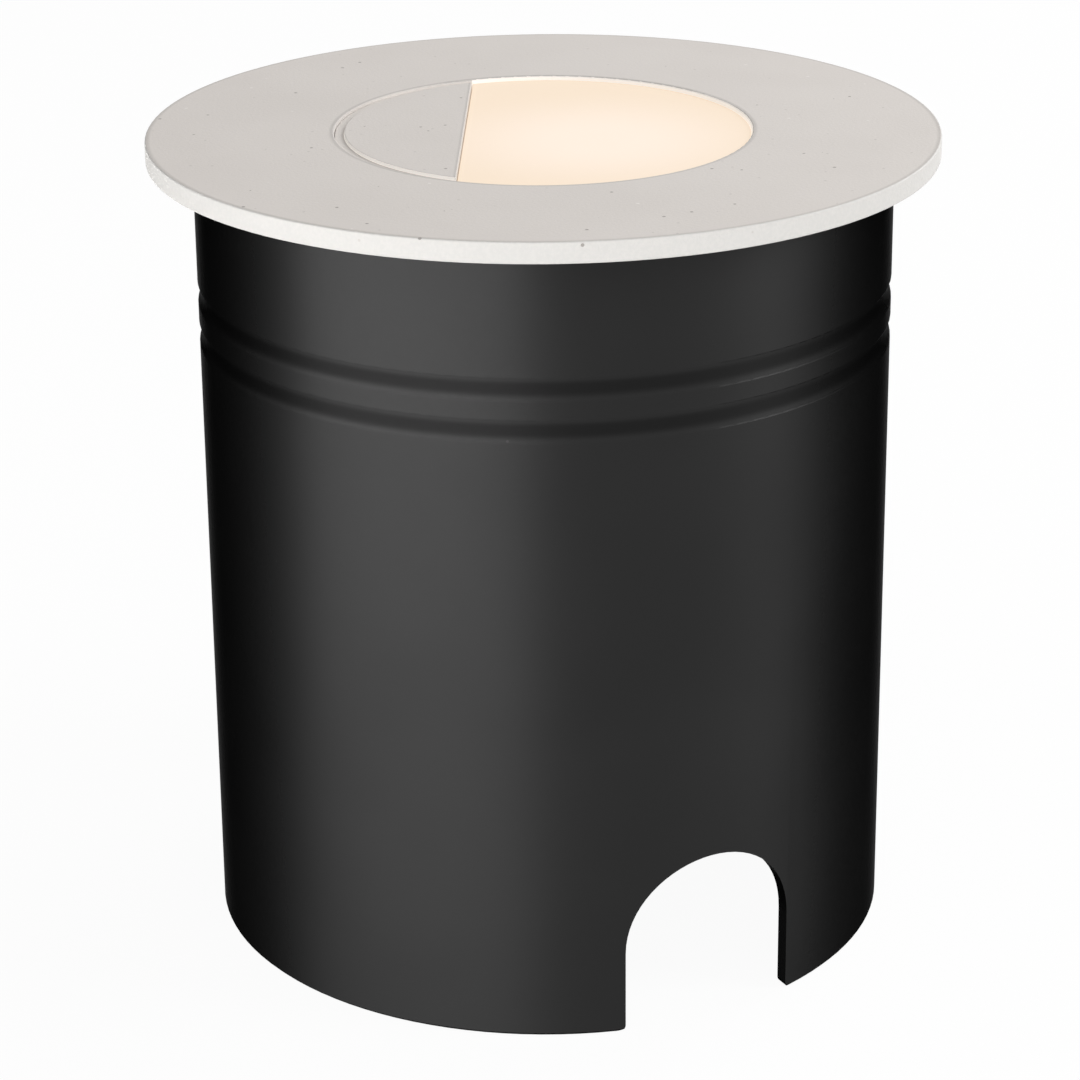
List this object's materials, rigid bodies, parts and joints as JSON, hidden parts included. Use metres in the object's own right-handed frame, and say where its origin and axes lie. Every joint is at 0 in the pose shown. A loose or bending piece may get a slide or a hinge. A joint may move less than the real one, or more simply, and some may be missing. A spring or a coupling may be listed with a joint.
{
  "type": "recessed light",
  "caption": "Round recessed light for walls, steps and paths: flat sand white plate with a half-shaded lit window, on a grooved black mounting sleeve with a conduit notch.",
  "frame": {"origin": "middle of the sleeve's foot, at the centre of the footprint", "axes": "+Z out of the hole through the face plate; the sleeve's conduit notch faces -Y"},
  "size_m": [0.095, 0.095, 0.1],
  "materials": {
    "sand_white_coat": "fine sand textured powder coat",
    "black_sleeve": "satin black coated tube",
    "opal_lens": "opal, lit warm white",
    "black_rubber": "ribbed moulded rubber",
    "silicone_seal": "translucent grey silicone",
    "cast_aluminium": "blasted die casting",
    "white_reflector": "white moulded plastic",
    "white_board": "metal-core board with white mask",
    "led_phosphor": "yellow phosphor in a white frame",
    "thermal_grey": "soft gap pad",
    "screw_steel": "plain stainless steel",
    "green_board": "green mask",
    "transformer_tape": "yellow taped winding",
    "capacitor_sleeve": "shrunk plastic sleeve",
    "inductor_wrap": "black heat shrink",
    "terminal_plastic": "moulded terminal block",
    "red_insulation": "silicone insulated lead",
    "black_insulation": "silicone insulated lead",
    "black_cover": "textured moulded plastic",
    "gland_nylon": "moulded nylon"
  },
  "bodies": {
    "sleeve": {"mounting_sleeve": "black_sleeve"},
    "band": {"grip_band": "black_rubber"},
    "light_unit": {"face_plate": "sand_white_coat", "half_shade": "sand_white_coat", "lens": "opal_lens", "lens_seal": "silicone_seal", "body_seal": "silicone_seal", "reflector_cup": "white_reflector", "led_board": "white_board", "led_chips": "led_phosphor", "thermal_pad": "thermal_grey", "led_board_screws": "screw_steel", "lamp_body": "cast_aluminium", "plate_screws": "screw_steel", "driver_board": "green_board", "driver_board_screws": "screw_steel", "driver_transformer": "transformer_tape", "driver_capacitor": "capacitor_sleeve", "driver_inductor": "inductor_wrap", "supply_terminal": "terminal_plastic", "lead_positive": "red_insulation", "lead_negative": "black_insulation", "rear_seal": "silicone_seal", "rear_cover": "black_cover", "rear_cover_screws": "screw_steel", "gland_body": "gland_nylon", "gland_lock_nut": "gland_nylon", "gland_bush": "black_rubber", "gland_cap": "gland_nylon"}
  },
  "joints": [
    {"name": "pull_out", "type": "slide", "parent": "sleeve", "child": "band", "axis": [0, 0, 1], "range_m": [0, 0.075]},
    {"name": "swivel", "type": "hinge", "parent": "band", "child": "light_unit", "pos_m": [0, 0, 0.0788], "axis": [0, 0, 1], "continuous": true}
  ]
}
